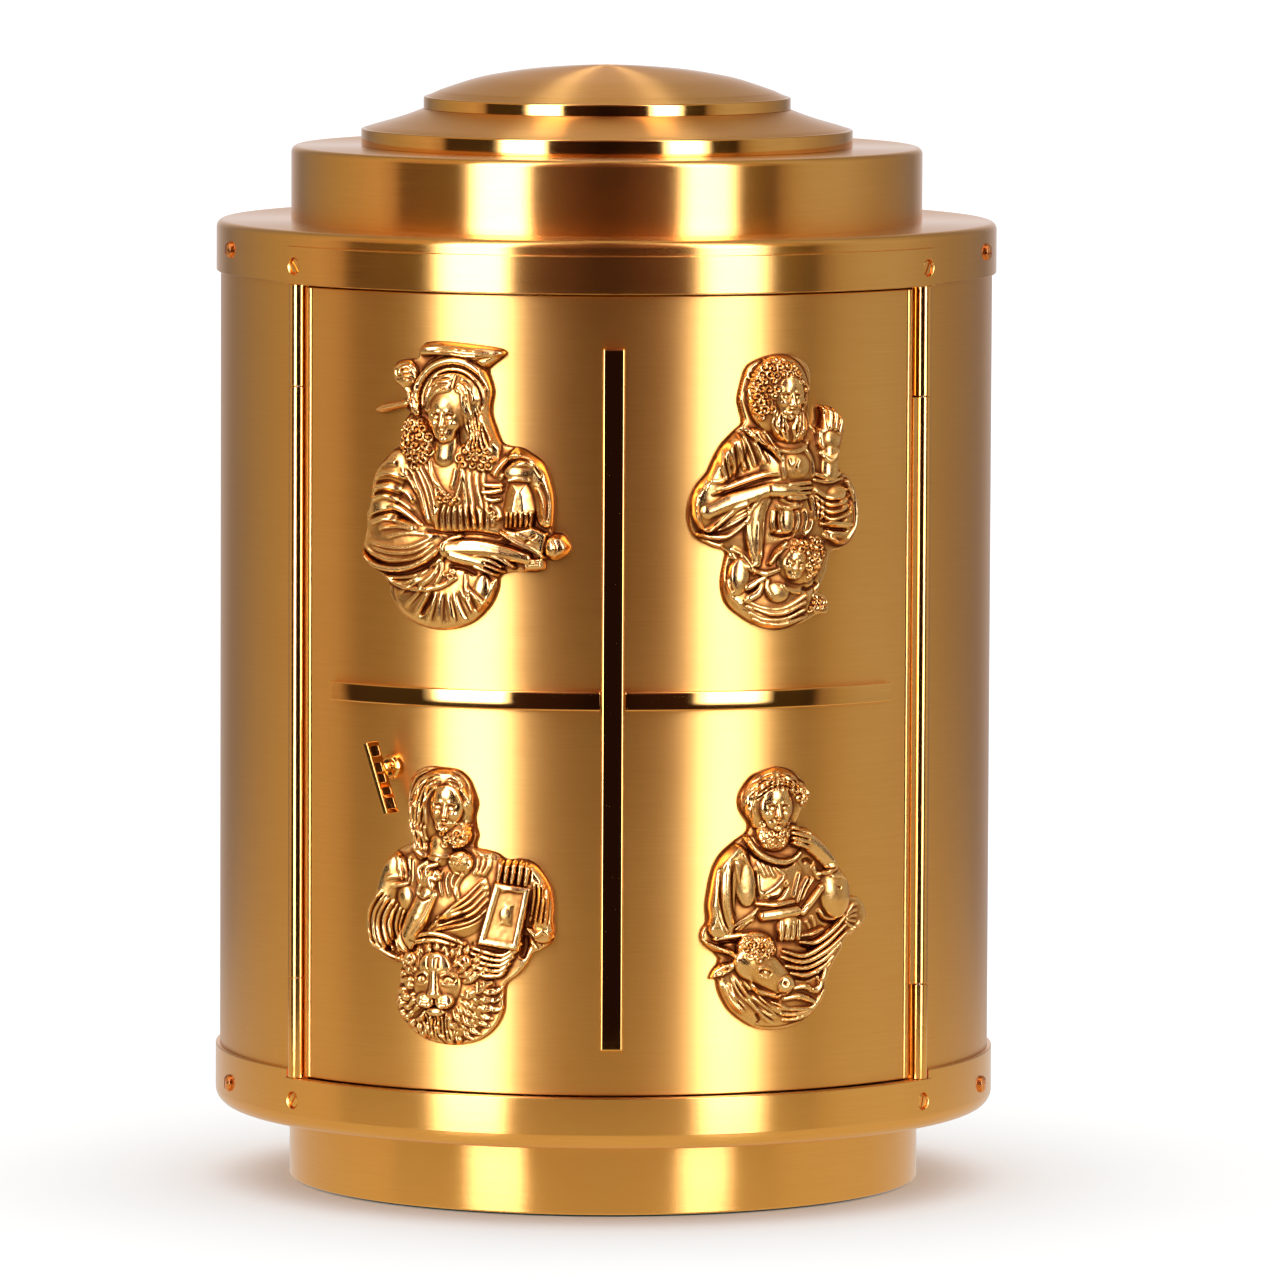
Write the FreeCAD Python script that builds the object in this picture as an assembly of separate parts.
import FreeCAD, Part
import math
import os

os.makedirs("parts", exist_ok=True)

# Round metal tabernacle: a drum-shaped locked box with a curved front door.
# Millimetres, +Z up, front faces -Y, origin on the axis at the underside.
# Angles round the box are measured from the front (-Y), positive towards +X.

# ---- driving dimensions ----
R_BAND = 180.0        # outer radius of the bottom pan and the top cap
R_BODY = 178.0        # outer radius of the body shell and the door
T_SHEET = 2.0         # sheet thickness
R_STRIP = 181.6       # outer radius of the lintel and sill strips
R_DRUM = 145.6        # outer radius of the base drum and the crown drum
A_STRIP = 54.3        # half angle of the strips
A_STRIP_SCREW = 52.35 # half angle of the strip screws
A_BAND_SCREW = 74.0   # half angle of the side screws in cap and pan
A_ROD = 52.75         # half angle of the two vertical rods
R_ROD_AXIS = 177.5    # radius of the rod axes
R_ROD = 3.1           # rod radius
R_PIN = 1.5           # hinge pin radius
A_DOOR_L = -50.9      # free edge of the door
A_DOOR_R = 50.1       # hinge edge of the door
A_OPEN = 53.5         # half angle of the opening in the shell
Z_PAN = 35.0          # underside of the pan
Z_LIP = 62.8          # top lip of the pan
Z_SILL0, Z_SILL1 = 41.8, 59.0
Z_DOOR0, Z_DOOR1 = 60.0, 419.6
Z_LINT0, Z_LINT1 = 420.6, 437.8
Z_CAP0, Z_CAP1 = 421.0, 444.5
Z_CROWN = 478.5       # top of the crown drum
Z_TIER1 = 486.0       # top of the lower dome rim
Z_TIER2A, Z_TIER2B = 495.6, 500.9   # upper dome rim
Z_TOP = 515.7         # apex
R_TIER1 = 113.4
R_TIER2 = 84.7
FLOOR_TOP = 57.0      # top of the floor board
JOINT_HINGE = (102.6, 370.5)  # lower and upper joints of the hinge barrel
JOINT_STOP = (104.9, 374.4)   # the same on the closing rod
ANCHOR_PCD, ANCHOR_R = 200.0, 4.5
CROSS_Z0, CROSS_Z1, CROSS_W, CROSS_H = 80.3, 396.4, 10.0, 3.9
ARM_A, ARM_Z, ARM_W, ARM_H = 44.7, 238.0, 8.7, 3.2
KEY_A, KEY_Z, KEY_TILT = -33.5, 205.4, 19.5
BOLT_THROW = 12.02
CRANK_R = 8.5         # drive pin radius: 2 * 8.5 * sin 45 = 12.02

V = FreeCAD.Vector
UP = V(0, 0, 1)


def out(shape, name):
    shape = shape.removeSplitter() if name not in RAW else shape
    if not shape.isValid():
        shape.fix(0.001, 0.001, 0.01)
    print("%-24s solids %2d valid %s volume %10.1f" % (name, len(shape.Solids), shape.isValid(), shape.Volume))
    shape.exportStep("parts/%s.step" % name)
    return shape


RAW = set()


def cyl(r, z0, z1, x=0.0, y=0.0):
    return Part.makeCylinder(r, z1 - z0, V(x, y, z0))


def pol(r, a, z=0.0):
    t = math.radians(a)
    return V(r * math.sin(t), -r * math.cos(t), z)


def sector(r0, r1, a0, a1, z0, z1):
    am = (a0 + a1) / 2.0
    e = [
        Part.Arc(pol(r1, a0, z0), pol(r1, am, z0), pol(r1, a1, z0)).toShape(),
        Part.makeLine(pol(r1, a1, z0), pol(r0, a1, z0)),
        Part.Arc(pol(r0, a1, z0), pol(r0, am, z0), pol(r0, a0, z0)).toShape(),
        Part.makeLine(pol(r0, a0, z0), pol(r1, a0, z0)),
    ]
    return Part.Face(Part.Wire(e)).extrude(V(0, 0, z1 - z0))


def ring(r0, r1, z0, z1):
    return cyl(r1, z0, z1).cut(cyl(r0, z0 - 1, z1 + 1))


def revolve(profile):
    """Closed (r, z) profile; an entry ("arc", mid, end) is an arc from the last point."""
    edges, last, first = [], None, None
    for p in profile:
        if p[0] == "arc":
            mid, end = V(p[1][0], 0, p[1][1]), V(p[2][0], 0, p[2][1])
            edges.append(Part.Arc(last, mid, end).toShape())
            last = end
        elif p[0] == "spline":
            pts = [last] + [V(a, 0, b) for a, b in p[1]]
            c = Part.BSplineCurve()
            c.interpolate(pts)
            edges.append(c.toShape())
            last = pts[-1]
        else:
            q = V(p[0], 0, p[1])
            if last is not None and (q - last).Length > 1e-7:
                edges.append(Part.makeLine(last, q))
            last = q
            if first is None:
                first = q
    if (last - first).Length > 1e-7:
        edges.append(Part.makeLine(last, first))
    s = Part.Face(Part.Wire(edges)).revolve(V(0, 0, 0), UP, 360)
    return s


def mid_arc(cx, cz, r, deg):
    t = math.radians(deg)
    return (cx + r * math.cos(t), cz + r * math.sin(t))


def radial_cyl(r, a, z, r0, r1):
    """Cylinder of radius r whose axis is the radial line at angle a, height z, from radius r0 to r1."""
    d = pol(1, a)
    return Part.makeCylinder(r, r1 - r0, V(d.x * r0, d.y * r0, z), d)


def radial_cone(ra, rb, a, z, r0, r1):
    d = pol(1, a)
    return Part.makeCone(ra, rb, r1 - r0, V(d.x * r0, d.y * r0, z), d)


def box_local(s0, s1, r0, r1, z0, z1):
    """Box in the lock frame built at the front: s to the right, radius outward (-Y), z up."""
    return Part.makeBox(s1 - s0, r1 - r0, z1 - z0, V(s0, -r1, z0))


def turn(shape, a):
    s = shape.copy()
    s.rotate(V(0, 0, 0), UP, a)
    return s


def fuse(shapes):
    s = shapes[0]
    for t in shapes[1:]:
        s = s.fuse(t)
    return s


def cuts(s, tools):
    for t in tools:
        s = s.cut(t)
    return s


anchor_xy = [(ANCHOR_PCD / 2 * math.cos(math.radians(a)), ANCHOR_PCD / 2 * math.sin(math.radians(a))) for a in (45, 135, 225, 315)]

# ---- base ----
felt = cuts(cyl(141.0, 0, 1.2), [cyl(ANCHOR_R, -1, 3, x, y) for x, y in anchor_xy])
out(felt, "felt_pad")
drum = revolve([(143.6, 1.2), (144.8, 1.2), ("arc", mid_arc(144.8, 2.0, 0.8, -45), (145.6, 2.0)), (145.6, 35.0), (143.6, 35.0)])
out(drum, "base_drum")
plate = cuts(cyl(143.55, 1.2, 4.2), [cyl(ANCHOR_R, 0, 6, x, y) for x, y in anchor_xy])
out(plate, "base_plate")
sleeves = [ring(ANCHOR_R, 7.5, 4.2, 35.0).translated(V(x, y, 0)) for x, y in anchor_xy]
out(Part.makeCompound(sleeves), "anchor_sleeves")

# ---- bottom pan: one spun dish, its wall cut down in front for the door ----
pan = revolve([
    (0, 35.0), (172.6, 35.0), ("arc", mid_arc(172.6, 42.4, 7.4, -45), (180.0, 42.4)),
    (180.0, 62.3), ("arc", mid_arc(179.5, 62.3, 0.5, 45), (179.5, 62.8)), (178.05, 62.8), (178.05, 42.4),
    ("arc", mid_arc(172.6, 42.4, 5.45, -45), (172.6, 36.95)), (0, 36.95)])
pan_screw_a = [A_BAND_SCREW, -A_BAND_SCREW, 140.0, -140.0]
PAN_SCREW_Z, CAP_SCREW_Z = 49.0, 432.8
pan = cuts(pan, [sector(170, 190, -A_STRIP, A_STRIP, 58.6, 70)]
           + [cyl(ANCHOR_R, 30, 45, x, y) for x, y in anchor_xy]
           + [radial_cyl(2.0, a, PAN_SCREW_Z, 170, 190) for a in pan_screw_a]
           + [radial_cyl(1.7, a, 49.0, 170, 190) for a in (A_STRIP_SCREW, -A_STRIP_SCREW)])
out(pan, "bottom_pan")

# ---- body shell with the front opening ----
hinge_c = pol(R_ROD_AXIS, A_ROD)
stop_c = pol(R_ROD_AXIS, -A_ROD)
shell = ring(176.0, R_BODY, 43.0, 440.9)
shell = shell.cut(sector(170, 190, -A_OPEN, A_OPEN, Z_SILL1, Z_LINT0 - 0.4))
shell = cuts(shell, [
    cyl(R_ROD, Z_SILL1, Z_LINT0, stop_c.x, stop_c.y),
    cyl(R_ROD, Z_SILL1, Z_LINT0, hinge_c.x, hinge_c.y),
    cyl(R_ROD + 0.45, JOINT_HINGE[0], JOINT_HINGE[1], hinge_c.x, hinge_c.y)])
shell = cuts(shell, [radial_cyl(2.0, a, PAN_SCREW_Z, 170, 190) for a in pan_screw_a]
             + [radial_cyl(2.0, a, CAP_SCREW_Z, 170, 190) for a in pan_screw_a]
             + [radial_cyl(1.7, a, z, 170, 190) for a in (A_STRIP_SCREW, -A_STRIP_SCREW) for z in (49.0, 428.9)])
out(shell, "body_shell")

# ---- floor, liner, jambs and ceiling of the chamber ----
floor = cyl(171.5, 37.0, FLOOR_TOP)
floor = cuts(floor, [cyl(ANCHOR_R, 30, 70, x, y) for x, y in anchor_xy]
             + [cyl(10.0, 48.0, 70, x, y) for x, y in anchor_xy])
out(floor, "floor_board")
A_J0, A_J1 = 54.0, 57.8
liner = sector(158.0, 159.5, A_J1 + 0.05, 360 - A_J1 - 0.05, FLOOR_TOP, 421.0)
out(liner, "chamber_liner")
jamb_r = sector(158.0, 175.9, A_J0, A_J1, FLOOR_TOP, 421.0)
jamb_r = jamb_r.cut(cyl(R_ROD + 0.45, 50, 430, hinge_c.x, hinge_c.y))
out(jamb_r, "hinge_jamb")
# pocket for the bolt: built in the lock frame and turned to the key angle
BOLT_D0, BOLT_D1 = 151.5, 156.5
BOLT_Z0, BOLT_Z1 = 191.5, 201.5
TIP0 = -51.0
pocket = turn(box_local(TIP0 - BOLT_THROW - 1.2, TIP0 - 1.0, BOLT_D0 - 0.5, BOLT_D1 + 0.5, BOLT_Z0 - 0.6, BOLT_Z1 + 0.6), KEY_A)
jamb_l = sector(158.0, 175.9, -A_J1, -A_J0 - 0.5, FLOOR_TOP, 421.0)
jamb_l = jamb_l.fuse(sector(158.0, 175.9, -A_J0 - 0.5, -A_J0, FLOOR_TOP, 176.0))
jamb_l = jamb_l.fuse(sector(158.0, 175.9, -A_J0 - 0.5, -A_J0, 217.0, 421.0))
jamb_l = cuts(jamb_l, [cyl(R_ROD, 50, 430, stop_c.x, stop_c.y), pocket])
strike = sector(158.2, 174.0, -A_J0 - 0.5, -A_J0, 176.05, 216.95)
strike_d = pol(1, -A_J0 - 90)
strike_screw, strike_holes = [], []
for z in (182.0, 211.0):
    c = pol(166.0, -A_J0 + 0.02)
    tdir = V(-math.cos(math.radians(A_J0)), math.sin(math.radians(A_J0)), 0)
    strike_holes.append(Part.makeCylinder(1.4, 6, V(c.x, c.y, z) - tdir * 1, tdir))
    head = Part.makeCone(2.6, 1.4, 1.2, V(c.x, c.y, z) + tdir * 0.05, tdir)
    strike_holes.append(Part.makeCone(2.65, 1.4, 1.25, V(c.x, c.y, z) + tdir * 0.05, tdir))
    strike_screw.append(head.fuse(Part.makeCylinder(1.35, 4.0, V(c.x, c.y, z) + tdir * 1.0, tdir)))
strike = cuts(strike, [pocket] + strike_holes)
jamb_l = cuts(jamb_l, strike_holes)
out(jamb_l, "lock_jamb")
out(strike, "strike_plate")
out(Part.makeCompound(strike_screw), "strike_screws")
ceiling = cyl(173.0, 421.0, 440.5).cut(cyl(4.3, 430, 450)).cut(cyl(12.0, 430.0, 450))
ceiling = cuts(ceiling, [radial_cyl(2.1, a, CAP_SCREW_Z, 170, 180) for a in pan_screw_a]
               + [radial_cyl(1.8, a, 428.9, 170, 180) for a in (A_STRIP_SCREW, -A_STRIP_SCREW)])
out(ceiling, "ceiling_board")

# ---- top cap ----
cap = revolve([
    (178.05, Z_CAP0), (179.6, Z_CAP0), ("arc", mid_arc(179.6, Z_CAP0 + 0.4, 0.4, -45), (180.0, Z_CAP0 + 0.4)),
    (180.0, 441.0), ("arc", mid_arc(176.5, 441.0, 3.5, 45), (176.5, Z_CAP1)), (0, Z_CAP1), (0, 442.5), (176.5, 442.5),
    ("arc", mid_arc(176.5, 440.95, 1.55, 45), (178.05, 440.95))])
cap = cuts(cap, [cyl(4.2, 430, 450)]
           + [radial_cyl(2.0, a, CAP_SCREW_Z, 170, 190) for a in pan_screw_a]
           + [radial_cyl(1.7, a, 428.9, 170, 190) for a in (A_STRIP_SCREW, -A_STRIP_SCREW)])
out(cap, "top_cap")

# ---- lintel and sill strips with slotted countersunk screws ----
def strip(z0, z1, zs):
    s = sector(180.0, R_STRIP, -A_STRIP, A_STRIP, z0, z1)
    # ease the outer edges of the strip
    e = []
    for ed in s.Edges:
        b = ed.BoundBox
        if ed.Curve.TypeId == "Part::GeomCircle" and abs(ed.Curve.Radius - R_STRIP) < 0.01:
            e.append(ed)
    s = s.makeFillet(0.45, e)
    return cuts(s, [radial_cone(3.0, 4.25, a, zs, 179.0, R_STRIP + 0.05) for a in (A_STRIP_SCREW, -A_STRIP_SCREW)])


def csk(a, z, slot_deg):
    """Countersunk slotted screw, its head a little below the strip face."""
    s = radial_cone(2.55, 3.55, a, z, 180.0, 181.1).fuse(radial_cyl(1.6, a, z, 172.5, 180.2))
    sl = Part.makeBox(10, 3, 0.9, V(-5, -181.9, -0.45))
    sl.translate(V(0, 0, 0))
    sl.rotate(V(0, 0, 0), V(0, 1, 0), slot_deg)
    sl.translate(V(0, 0, z))
    sl.rotate(V(0, 0, 0), UP, a)
    keep = radial_cyl(6, a, z, 180.5, 183)
    return s.cut(sl.common(keep))


lintel = strip(Z_LINT0, Z_LINT1, 428.9)
sill = strip(Z_SILL0, Z_SILL1, 49.0)
out(lintel, "lintel_strip")
out(sill, "sill_strip")
out(Part.makeCompound([csk(A_STRIP_SCREW, 428.9, 75), csk(-A_STRIP_SCREW, 428.9, -38),
                       csk(A_STRIP_SCREW, 49.0, 20), csk(-A_STRIP_SCREW, 49.0, 52)]), "strip_screws")


def pan_head(a, z, slot_deg):
    """Raised slotted screw holding the cap or the pan to the shell."""
    head = radial_cyl(3.9, a, z, 180.0, 181.0).fuse(radial_cone(3.9, 2.6, a, z, 181.0, 182.2))
    s = head.fuse(radial_cyl(1.9, a, z, 172.0, 180.2))
    sl = Part.makeBox(10, 3, 0.9, V(-5, -184.2, -0.45))
    sl.rotate(V(0, 0, 0), V(0, 1, 0), slot_deg)
    sl.translate(V(0, 0, z))
    sl.rotate(V(0, 0, 0), UP, a)
    return s.cut(sl)


out(Part.makeCompound([pan_head(a, CAP_SCREW_Z, d) for a, d in zip(pan_screw_a, (10, 65, -30, 40))]), "cap_screws")
out(Part.makeCompound([pan_head(a, PAN_SCREW_Z, d) for a, d in zip(pan_screw_a, (-15, 80, 30, 5))]), "pan_screws")

# ---- crown: drum and two shallow dome tiers held by a central stud ----
crown = revolve([
    (143.6, 444.5), (145.6, 444.5), (145.6, 475.5), ("arc", mid_arc(142.6, 475.5, 3.0, 45), (142.6, Z_CROWN)),
    (0, Z_CROWN), (0, 476.5), (142.6, 476.5), ("arc", mid_arc(142.6, 475.5, 1.0, 45), (143.6, 475.5))])
crown = crown.cut(cyl(4.2, 470, 485))
out(crown, "crown_drum")
rim1 = revolve([(110.4, Z_CROWN), (113.1, Z_CROWN), ("arc", mid_arc(113.1, Z_CROWN + 0.3, 0.3, -45), (113.4, Z_CROWN + 0.3)),
                (113.4, 485.6), ("arc", mid_arc(113.0, 485.6, 0.4, 45), (113.0, 486.0)), (110.4, 486.0)])
out(rim1, "lower_dome_rim")
dome1 = revolve([(112.9, 486.0), ("spline", [(110.2, 487.1), (107.8, 487.9), (99.7, 490.2), (92.3, 492.6), (86.0, 495.0), (84.9, 495.55)]),
                 (0, 495.55), (0, 494.0), (84.5, 494.0), ("spline", [(91.7, 491.0), (99.1, 488.6), (107.2, 486.3), (107.9, 486.0)])])
dome1 = dome1.cut(cyl(4.2, 480, 500))
out(dome1, "lower_dome")
rim2 = revolve([(81.6, Z_TIER2A), (84.4, Z_TIER2A), ("arc", mid_arc(84.4, Z_TIER2A + 0.3, 0.3, -45), (84.7, Z_TIER2A + 0.3)),
                (84.7, 500.5), ("arc", mid_arc(84.3, 500.5, 0.4, 45), (84.3, 500.9)), (81.6, 500.9)])
out(rim2, "upper_dome_rim")
# apex profile, mirrored in slope at r = 0
dome2 = revolve([(84.2, 500.9), ("spline", [(79.5, 502.5), (75.7, 503.9), (61.4, 508.5), (50.0, 510.9), (36.0, 513.2), (18.0, 515.0), (0, 515.7)]),
                 (0, 514.1), ("spline", [(18.0, 513.4), (36.0, 511.6), (50.0, 509.2), (61.0, 506.8), (75.0, 502.3), (78.8, 500.9)])])
out(dome2, "upper_dome")
boss = cyl(10.0, 503.0, 520.0).common(revolve([(0, 495.0), (20, 495.0), (20, 512.9), ("spline", [(18.0, 513.1), (9.0, 513.7), (0, 513.9)])]))
boss = boss.cut(cyl(4.0, 500, 511))
out(boss, "crown_boss")
out(cyl(4.0, 432.5, 511.0), "crown_stud")
out(ring(4.05, 9.0, 440.9, 442.5), "crown_washer")
hexpts = [V(7.5 * math.cos(math.radians(60 * i)), 7.5 * math.sin(math.radians(60 * i)), 434.4) for i in range(7)]
nut = Part.Face(Part.makePolygon(hexpts)).extrude(V(0, 0, 6.5)).cut(cyl(4.0, 430, 445))
out(nut, "crown_nut")

# ---- hinge: one pin, fixed barrels above and below, the long middle barrel on the door ----
def barrel(c, z0, z1, r=R_ROD, bore=R_PIN):
    return cyl(r, z0, z1, c.x, c.y).cut(cyl(bore, z0 - 1, z1 + 1, c.x, c.y))


Z_ROD0, Z_ROD1 = Z_SILL1 + 0.05, Z_LINT0 - 0.05
def fixed_barrel(z0, z1):
    """Fixed barrel with its narrow leaf, which fills the gap beside the door and clears the turning edge."""
    plate = sector(174.2, 175.95, 50.75, A_ROD, z0, z1).cut(cyl(R_ROD - 0.6, 50, 430, hinge_c.x, hinge_c.y))
    return barrel(hinge_c, z0, z1).fuse(plate)


out(fixed_barrel(JOINT_HINGE[1] + 0.2, Z_ROD1), "hinge_barrel_top")
out(fixed_barrel(Z_ROD0, JOINT_HINGE[0] - 0.2), "hinge_barrel_bottom")
out(cyl(R_PIN, Z_ROD0, Z_ROD1, hinge_c.x, hinge_c.y), "hinge_pin")
mb = barrel(hinge_c, JOINT_HINGE[0] + 0.2, JOINT_HINGE[1] - 0.2, bore=R_PIN + 0.06)
leaf_thin = sector(174.2, 175.95, 46.2, A_ROD, JOINT_HINGE[0] + 0.2, JOINT_HINGE[1] - 0.2)
leaf_thick = sector(174.2, 178.6, A_DOOR_R + 0.02, A_ROD, JOINT_HINGE[0] + 0.2, JOINT_HINGE[1] - 0.2)
leaf = leaf_thin.fuse(leaf_thick).cut(cyl(R_ROD - 0.6, 50, 430, hinge_c.x, hinge_c.y))
mb = mb.fuse(leaf)
out(mb, "hinge_leaf")

# ---- closing rod on the lock side: three sleeves on a pin ----
g = 0.12
segs = [barrel(stop_c, Z_ROD0, JOINT_STOP[0] - g), barrel(stop_c, JOINT_STOP[0] + g, JOINT_STOP[1] - g), barrel(stop_c, JOINT_STOP[1] + g, Z_ROD1)]
out(segs[2], "closing_rod_top")
out(segs[1], "closing_rod_middle")
out(segs[0], "closing_rod_bottom")
out(cyl(R_PIN, Z_ROD0, Z_ROD1, stop_c.x, stop_c.y), "closing_rod_pin")

# ---- door ----
plug_hole = radial_cyl(3.85, KEY_A, KEY_Z, 165.0, 179.5)
panel = sector(176.0, R_BODY, A_DOOR_L, A_DOOR_R, Z_DOOR0, Z_DOOR1).cut(plug_hole)

# relief outlines: x along the chord of the local tangent plane, z up, about the centre (angle, height)
RELIEFS = {
    "relief_eagle_figure": (-22.0, 334.0, [(-21.1, 60.9), (-17.8, 63.7), (-10.2, 64.5), (-0.7, 64.0), (8.6, 63.2), (16.7, 62.2), (20.2, 61.1), (20.5, 59.1), (17.7, 56.6), (13.7, 53.6), (12.2, 51.7), (13.7, 47.3), (14.7, 42.5), (13.8, 36.6), (13.8, 32.7), (15.8, 27.0), (18.8, 20.2), (22.8, 18.4), (28.7, 17.5), (34.6, 14.2), (38.5, 10.9), (40.9, 5.1), (42.8, -1.7), (43.3, -8.5), (42.8, -15.3), (42.4, -19.7), (47.1, -20.6), (49.9, -24.0), (50.9, -26.9), (49.0, -30.3), (44.3, -33.0), (40.0, -32.9), (39.1, -36.8), (33.8, -38.3), (27.0, -38.0), (23.0, -38.6), (18.0, -40.7), (17.1, -46.0), (14.0, -52.9), (8.0, -59.5), (0.7, -63.6), (-8.8, -65.4), (-18.5, -64.4), (-27.4, -60.9), (-33.0, -55.8), (-36.5, -50.1), (-37.0, -46.2), (-40.5, -42.4), (-45.8, -38.8), (-50.0, -34.1), (-51.2, -29.3), (-49.4, -24.3), (-48.8, -19.4), (-48.5, -14.5), (-45.9, -8.4), (-45.3, -1.6), (-44.7, 4.3), (-41.2, 8.9), (-35.5, 14.5), (-32.1, 18.6), (-30.4, 24.5), (-28.7, 28.5), (-26.5, 32.0), (-29.9, 33.8), (-36.7, 32.1), (-42.5, 31.3), (-44.8, 32.7), (-40.2, 35.3), (-31.0, 37.4), (-27.7, 39.2), (-29.9, 42.1), (-33.1, 44.9), (-35.0, 50.2), (-34.5, 53.6), (-29.9, 55.7), (-23.3, 56.5), (-21.9, 58.9)],
                            [(-9.0, 32.0, 9.0, 12.0, 11.5), (-3.0, -12.0, 34.0, 22.0, 9.0), (-9.0, -44.0, 21.0, 15.0, 7.5)], [(-12, 2), (10, -26)]),
    "relief_angel_figure": (24.3, 331.0, [(-15.6, 56.8), (-11.4, 59.7), (-5.1, 61.8), (1.4, 62.3), (8.0, 61.2), (13.6, 58.1), (15.9, 54.6), (16.2, 48.7), (15.4, 42.9), (14.9, 38.0), (16.0, 33.1), (17.2, 30.2), (20.1, 29.1), (21.8, 33.9), (21.2, 37.8), (24.1, 38.4), (28.8, 37.1), (32.4, 33.5), (34.8, 28.5), (34.2, 23.7), (32.5, 18.8), (31.9, 14.0), (32.6, 8.1), (36.2, 7.0), (39.3, 3.9), (42.4, -1.2), (43.1, -7.1), (42.5, -11.9), (43.1, -15.9), (41.3, -20.2), (37.6, -24.5), (32.8, -27.0), (28.0, -27.9), (26.3, -31.8), (25.7, -35.7), (23.4, -40.5), (21.1, -45.3), (24.6, -46.9), (26.8, -51.4), (25.9, -55.3), (20.1, -56.0), (13.2, -59.1), (5.4, -61.3), (-2.2, -62.0), (-10.7, -59.7), (-18.1, -55.6), (-24.2, -50.6), (-26.8, -44.7), (-27.3, -37.9), (-25.8, -30.1), (-25.4, -26.2), (-31.4, -24.1), (-38.3, -20.6), (-41.7, -16.2), (-43.2, -9.3), (-42.3, -2.5), (-39.4, 4.2), (-34.5, 10.0), (-31.6, 15.8), (-27.6, 22.5), (-21.6, 28.3), (-17.5, 32.1), (-18.5, 37.0), (-19.6, 41.8), (-19.1, 45.7), (-17.6, 51.5)],
                            [(2.0, 44.0, 10.0, 13.0, 11.5), (0.0, -2.0, 28.0, 20.0, 9.0), (6.0, -38.0, 15.0, 15.0, 9.0)], [(-10, 8), (2, -34)]),
    "relief_lion_figure": (-22.6, 144.0, [(-24.4, 53.1), (-23.3, 57.3), (-19.7, 61.1), (-13.9, 62.9), (-7.1, 62.7), (-0.3, 62.0), (4.7, 58.6), (7.4, 53.5), (9.4, 47.3), (8.0, 41.1), (8.6, 36.9), (9.7, 32.8), (8.6, 27.6), (14.0, 26.3), (19.4, 24.9), (23.6, 22.4), (29.9, 22.8), (36.1, 21.2), (40.2, 17.2), (44.3, 10.0), (45.8, 1.7), (45.4, -4.5), (46.2, -10.7), (44.4, -15.4), (39.3, -18.6), (35.8, -20.3), (33.2, -25.0), (29.1, -29.8), (23.8, -34.1), (22.8, -39.3), (22.3, -46.6), (18.6, -54.0), (12.1, -59.5), (4.5, -62.1), (-3.3, -62.8), (-12.4, -61.7), (-19.4, -59.0), (-25.3, -54.2), (-29.5, -49.3), (-30.7, -43.1), (-29.2, -36.7), (-28.7, -30.4), (-27.8, -27.3), (-33.8, -26.1), (-40.0, -23.4), (-45.0, -19.6), (-46.2, -13.9), (-45.6, -7.6), (-43.8, -1.2), (-40.7, 5.2), (-38.8, 11.6), (-36.4, 18.0), (-31.5, 23.5), (-24.4, 27.1), (-21.4, 29.3), (-24.4, 36.4), (-25.0, 43.7), (-25.0, 48.9)],
                           [(-8.0, 45.0, 11.0, 14.0, 11.5), (0.0, 2.0, 32.0, 18.0, 9.0), (-9.0, -38.0, 15.0, 18.0, 10.5)], [(-10, 12), (-6, -30)]),
    "relief_ox_figure": (26.3, 148.0, [(-19.0, 55.2), (-13.6, 57.8), (-6.5, 59.4), (0.7, 57.7), (6.0, 54.2), (9.2, 49.4), (10.1, 44.8), (7.1, 40.3), (5.0, 35.8), (4.0, 32.1), (9.3, 31.0), (14.8, 27.0), (20.4, 21.1), (24.9, 14.4), (29.5, 9.5), (32.5, 4.6), (33.1, -1.0), (37.8, -1.8), (42.0, -6.2), (42.9, -11.0), (40.3, -14.9), (35.6, -18.3), (30.9, -20.8), (28.6, -25.7), (25.2, -30.1), (22.4, -34.6), (20.2, -40.0), (19.7, -44.6), (16.4, -50.0), (9.9, -55.1), (1.4, -58.8), (-6.9, -59.8), (-14.9, -59.0), (-21.9, -55.9), (-28.7, -50.6), (-32.5, -44.9), (-34.4, -40.2), (-35.4, -36.0), (-38.6, -35.5), (-37.3, -31.8), (-34.0, -27.3), (-36.4, -24.0), (-40.6, -20.7), (-42.7, -16.9), (-42.2, -13.2), (-39.7, -8.7), (-40.2, -2.2), (-39.3, 4.2), (-37.9, 11.6), (-35.6, 17.9), (-31.9, 22.5), (-26.2, 26.9), (-20.9, 30.4), (-19.9, 34.1), (-23.3, 38.8), (-24.8, 43.4), (-23.9, 48.9)],
                         [(-7.0, 42.0, 10.0, 12.0, 11.5), (-4.0, 2.0, 28.0, 18.0, 9.0), (-8.0, -30.0, 18.0, 14.0, 9.5)], [(-10, 10), (-4, -26)]),
}
BASE_H = 4.5
studs, nuts, stud_holes = [], [], []
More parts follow.
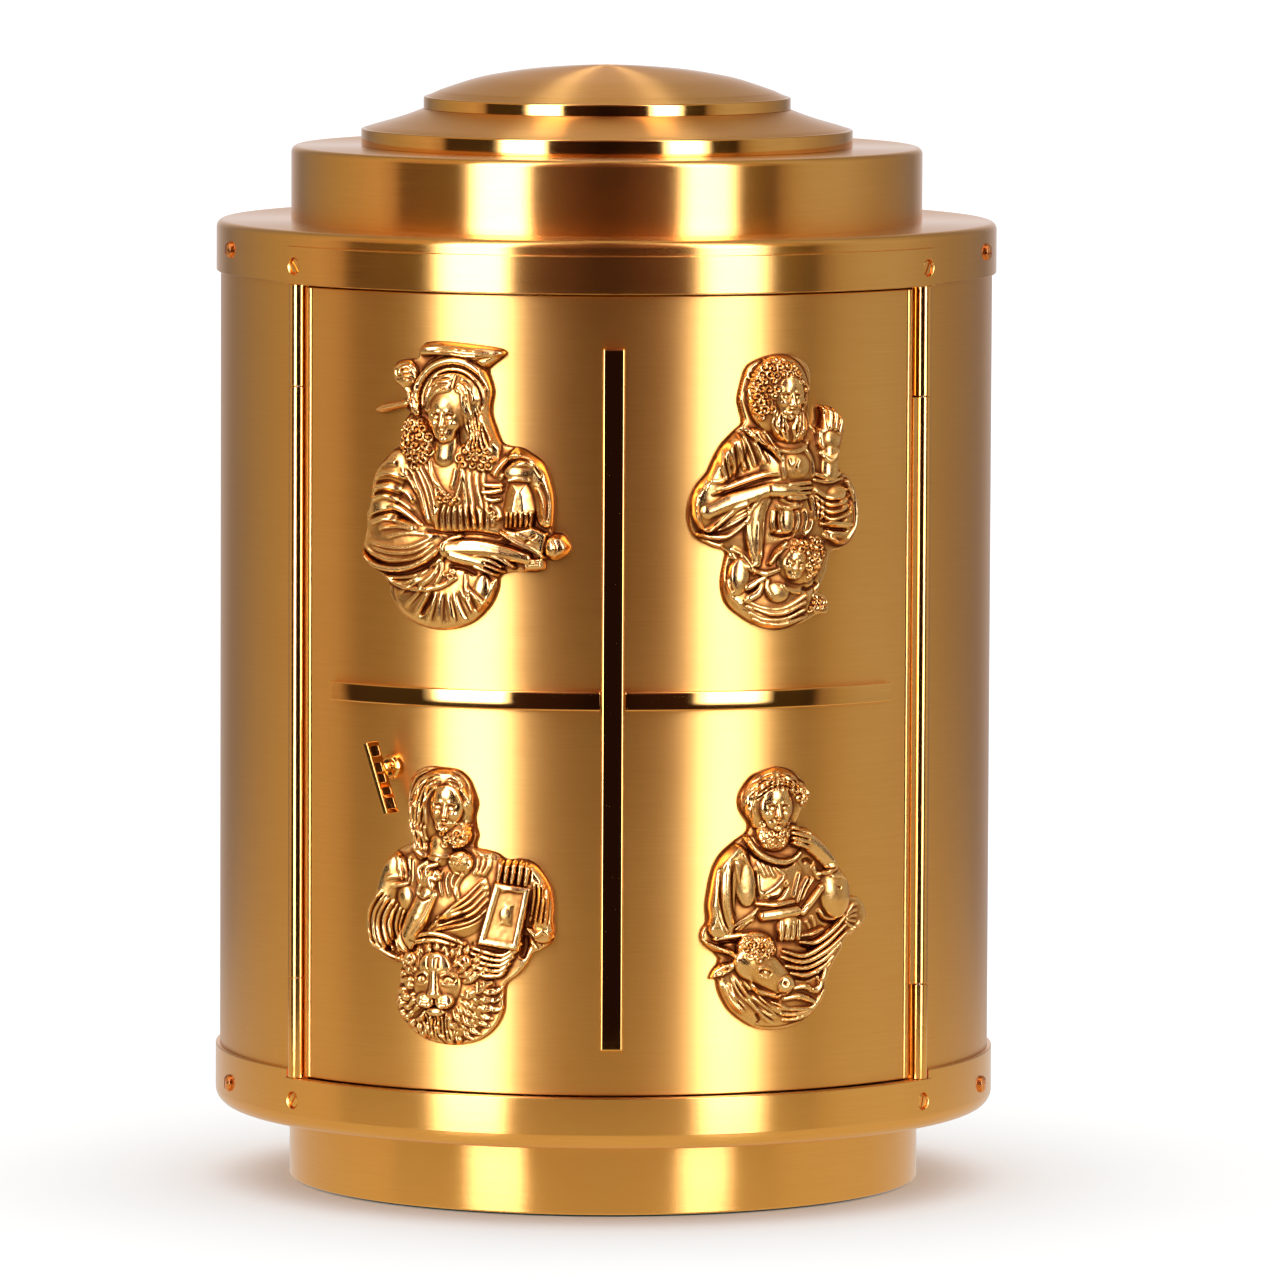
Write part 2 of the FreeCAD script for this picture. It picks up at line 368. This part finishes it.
for name, (ac, zc, pts, blobs, stud_at) in RELIEFS.items():
    poly = [V(x, -150, zc + z) for x, z in pts]
    poly.append(poly[0])
    prism = Part.Face(Part.makePolygon(poly)).extrude(V(0, -60, 0))
    layers = [turn(prism, ac).common(ring(R_BODY + 0.02, R_BODY + BASE_H, zc - 80, zc + 80))]
    for bx, bz, rx, rz, h in blobs:
        el = Part.Ellipse(V(0, 0, 0), max(rx, rz), min(rx, rz)).toShape()
        f = Part.Face(Part.Wire([el]))
        f.rotate(V(0, 0, 0), V(1, 0, 0), 90)
        if rz > rx:
            f.rotate(V(0, 0, 0), V(0, 1, 0), 90)
        f.translate(V(bx, -150, zc + bz))
        e = turn(f.extrude(V(0, -60, 0)), ac).common(ring(R_BODY + 0.02, R_BODY + h, zc - 80, zc + 80))
        layers.append(e)
    body = fuse(layers)
    # each casting is held by two threaded studs with nuts behind the sheet
    for sx, sz in stud_at:
        a = ac + math.degrees(math.asin(sx / R_BODY))
        studs.append(radial_cyl(1.5, a, zc + sz, 171.6, 180.5))
        hole = radial_cyl(1.52, a, zc + sz, 165, 180.5)
        body = body.cut(hole)
        stud_holes.append(radial_cyl(1.7, a, zc + sz, 175, 179))
        nuts.append(radial_cyl(2.9, a, zc + sz, 173.4, 175.9).cut(radial_cyl(1.5, a, zc + sz, 160, 180)))
    out(body, name)
panel = cuts(panel, stud_holes)
out(panel, "door_panel")
out(Part.makeCompound(studs), "relief_studs")
out(Part.makeCompound(nuts), "relief_nuts")

# door stiffening frame between the outer sheet and the inner lining
out(sector(170.0, 175.97, -50.5, -46.0, 75.05, 404.95), "door_stile_lock")
stile_r = sector(170.0, 175.97, 45.8, 49.9, 75.05, 404.95).cut(sector(174.1, 180, 46.0, 60, JOINT_HINGE[0] - 0.3, JOINT_HINGE[1] + 0.3))
out(stile_r, "door_stile_hinge")
out(sector(170.0, 175.97, -50.5, 49.9, 405.0, 419.2), "door_rail_top")
out(sector(170.0, 175.97, -50.5, 49.9, 60.6, 75.0), "door_rail_bottom")
lock_screw_at = [(-27.5, 190.0), (21.5, 190.0), (-27.5, 214.0), (21.5, 214.0)]
lock_holes = [turn(Part.makeCylinder(1.5, 20, V(s, -150, z), V(0, -1, 0)), KEY_A) for s, z in lock_screw_at]
lining = sector(168.5, 169.95, -50.5, 49.9, 60.6, 419.2)
lining = cuts(lining, [radial_cyl(3.85, KEY_A, KEY_Z, 160, 175)] + lock_holes)
out(lining, "door_lining")

# ---- cross: the upright bar passes over the curved arm bar ----
upright = Part.makeBox(CROSS_W, 10, CROSS_Z1 - CROSS_Z0, V(-CROSS_W / 2, -R_BODY - CROSS_H, CROSS_Z0))
upright = upright.cut(cyl(R_BODY + 0.02, 0, 500))
upright = upright.common(cyl(R_BODY + CROSS_H, 0, 500))
arm = sector(R_BODY + 0.02, R_BODY + ARM_H, -ARM_A, ARM_A, ARM_Z - ARM_W / 2, ARM_Z + ARM_W / 2)
upright = upright.cut(sector(R_BODY - 5, R_BODY + ARM_H + 0.01, -4, 4, ARM_Z - ARM_W / 2 - 0.01, ARM_Z + ARM_W / 2 + 0.01))
out(upright, "cross_upright")
out(arm, "cross_arm")

# ---- lock: collar outside, saddle, case, plug with drive cam, bolt and guide inside ----
collar = Part.makeCylinder(4.9, 3.8, V(0, -R_BODY - 0.02, KEY_Z), V(0, -1, 0)).cut(Part.makeCylinder(3.56, 20, V(0, -170, KEY_Z), V(0, -1, 0)))
cf = [e for e in collar.Edges if abs(e.BoundBox.YMin + R_BODY + 3.82) < 0.05 and abs(e.BoundBox.YMax + R_BODY + 3.82) < 0.05 and e.BoundBox.XMax > 4.5]
collar = collar.makeFillet(0.7, cf)
out(turn(collar, KEY_A), "lock_collar")
saddle = box_local(-31, 25, 163.5, 172, 184.0, 220.0).common(cyl(168.45, 100, 300))
saddle = saddle.cut(Part.makeCylinder(3.56, 30, V(0, -150, KEY_Z), V(0, -1, 0)))
saddle = turn(saddle, KEY_A)
saddle = cuts(saddle, lock_holes)
out(saddle, "lock_saddle")
CASE_S0, CASE_S1 = -24.0, 18.0
case = box_local(CASE_S0, CASE_S1, 149.6, 163.45, 186.0, 218.0).cut(box_local(CASE_S0 + 1.5, CASE_S1 - 1.5, 151.1, 170, 187.5, 216.5))
case = case.cut(box_local(CASE_S0 - 2, CASE_S0 + 3, BOLT_D0 - 0.4, BOLT_D1 + 0.4, BOLT_Z0 - 0.4, BOLT_Z1 + 0.4))
out(turn(case, KEY_A), "lock_case")
screws = []
for s, z in lock_screw_at:
    c = Part.makeCylinder(1.48, 10.5, V(s, -162.6, z), V(0, -1, 0)).fuse(Part.makeCylinder(2.7, 1.8, V(s, -161.6, z), V(0, -1, 0)))
    screws.append(turn(c, KEY_A))
out(Part.makeCompound(screws), "lock_screws")
guide = box_local(-46.0, -38.0, 149.0, 175, 187.5, 205.5).common(cyl(168.45, 100, 300))
guide = guide.cut(box_local(-60, -30, BOLT_D0 - 0.3, BOLT_D1 + 0.3, BOLT_Z0 - 0.3, BOLT_Z1 + 0.3))
out(turn(guide, KEY_A), "bolt_guide")

plug = Part.makeCylinder(3.5, 22.5, V(0, -159.5, KEY_Z), V(0, -1, 0))
slot = Part.makeBox(2.1, 18.6, 5.4, V(-1.05, -182.5, -2.7))
slot.rotate(V(0, 0, 0), V(0, 1, 0), -KEY_TILT)
slot.translate(V(0, 0, KEY_Z))
plug = plug.cut(slot)
out(turn(plug, KEY_A), "lock_plug")
# the drive pin starts 45 degrees to the right of straight down
px, pz = CRANK_R * math.sin(math.radians(45)), -CRANK_R * math.cos(math.radians(45))
cam = Part.makeCylinder(5.0, 2.4, V(0, -157.05, KEY_Z), V(0, -1, 0))
arm_c = Part.makeBox(6.4, 2.4, CRANK_R, V(-3.2, -159.45, -CRANK_R))
arm_c.rotate(V(0, 0, 0), V(0, 1, 0), -45)
arm_c.translate(V(0, 0, KEY_Z))
tip_c = Part.makeCylinder(3.2, 2.4, V(px, -157.05, KEY_Z + pz), V(0, -1, 0))
pin_c = Part.makeCylinder(2.0, 5.3, V(px, -151.8, KEY_Z + pz), V(0, -1, 0))
cam = cam.fuse(arm_c).fuse(tip_c).fuse(pin_c)
out(turn(cam, KEY_A), "lock_cam")

bolt = box_local(TIP0, 0, BOLT_D0, BOLT_D1, BOLT_Z0, BOLT_Z1).fuse(box_local(-2.0, 14.0, BOLT_D0, BOLT_D1, 189.8, 206.2))
bolt = bolt.cut(box_local(px - 2.62, px + 2.62, BOLT_D0 - 1, BOLT_D1 + 1, 193.9, 202.4))
out(turn(bolt, KEY_A), "lock_bolt")

# ---- key: flat blade, round shank and an offset pierced bow that lies in the plane of the blade ----
blade = Part.makeBox(1.5, 17.9, 4.8, V(-0.75, -182.4, -2.4))
shank = Part.makeCylinder(2.3, 3.4, V(0, -182.3, 0), V(0, -1, 0))
bow = Part.makeBox(1.9, 7.2, 33.5, V(-0.95, -192.4, -21.0))
fe = [e for e in bow.Edges if abs(e.BoundBox.XLength - 1.9) < 1e-3]
bow = bow.makeFillet(1.6, fe)
for z0, z1, d0, d1 in ((-18.8, -14.0, 186.6, 190.9), (-12.2, -9.0, 186.6, 190.9), (-6.4, -2.7, 188.0, 190.9), (-1.6, 2.6, 188.0, 190.9), (5.8, 10.4, 186.6, 190.9)):
    bow = bow.cut(Part.makeBox(4, d1 - d0, z1 - z0, V(-2, -d1, z0)))
hub = Part.makeCylinder(2.3, 1.2, V(0, -185.2, 0), V(0, -1, 0))
key = blade.fuse(shank).fuse(bow).fuse(hub)
key.rotate(V(0, 0, 0), V(0, 1, 0), -KEY_TILT)
key.translate(V(0, 0, KEY_Z))
out(turn(key, KEY_A), "key")
print("hinge axis", hinge_c, "key axis point", pol(170, KEY_A, KEY_Z), "nodes", len(os.listdir("parts")))
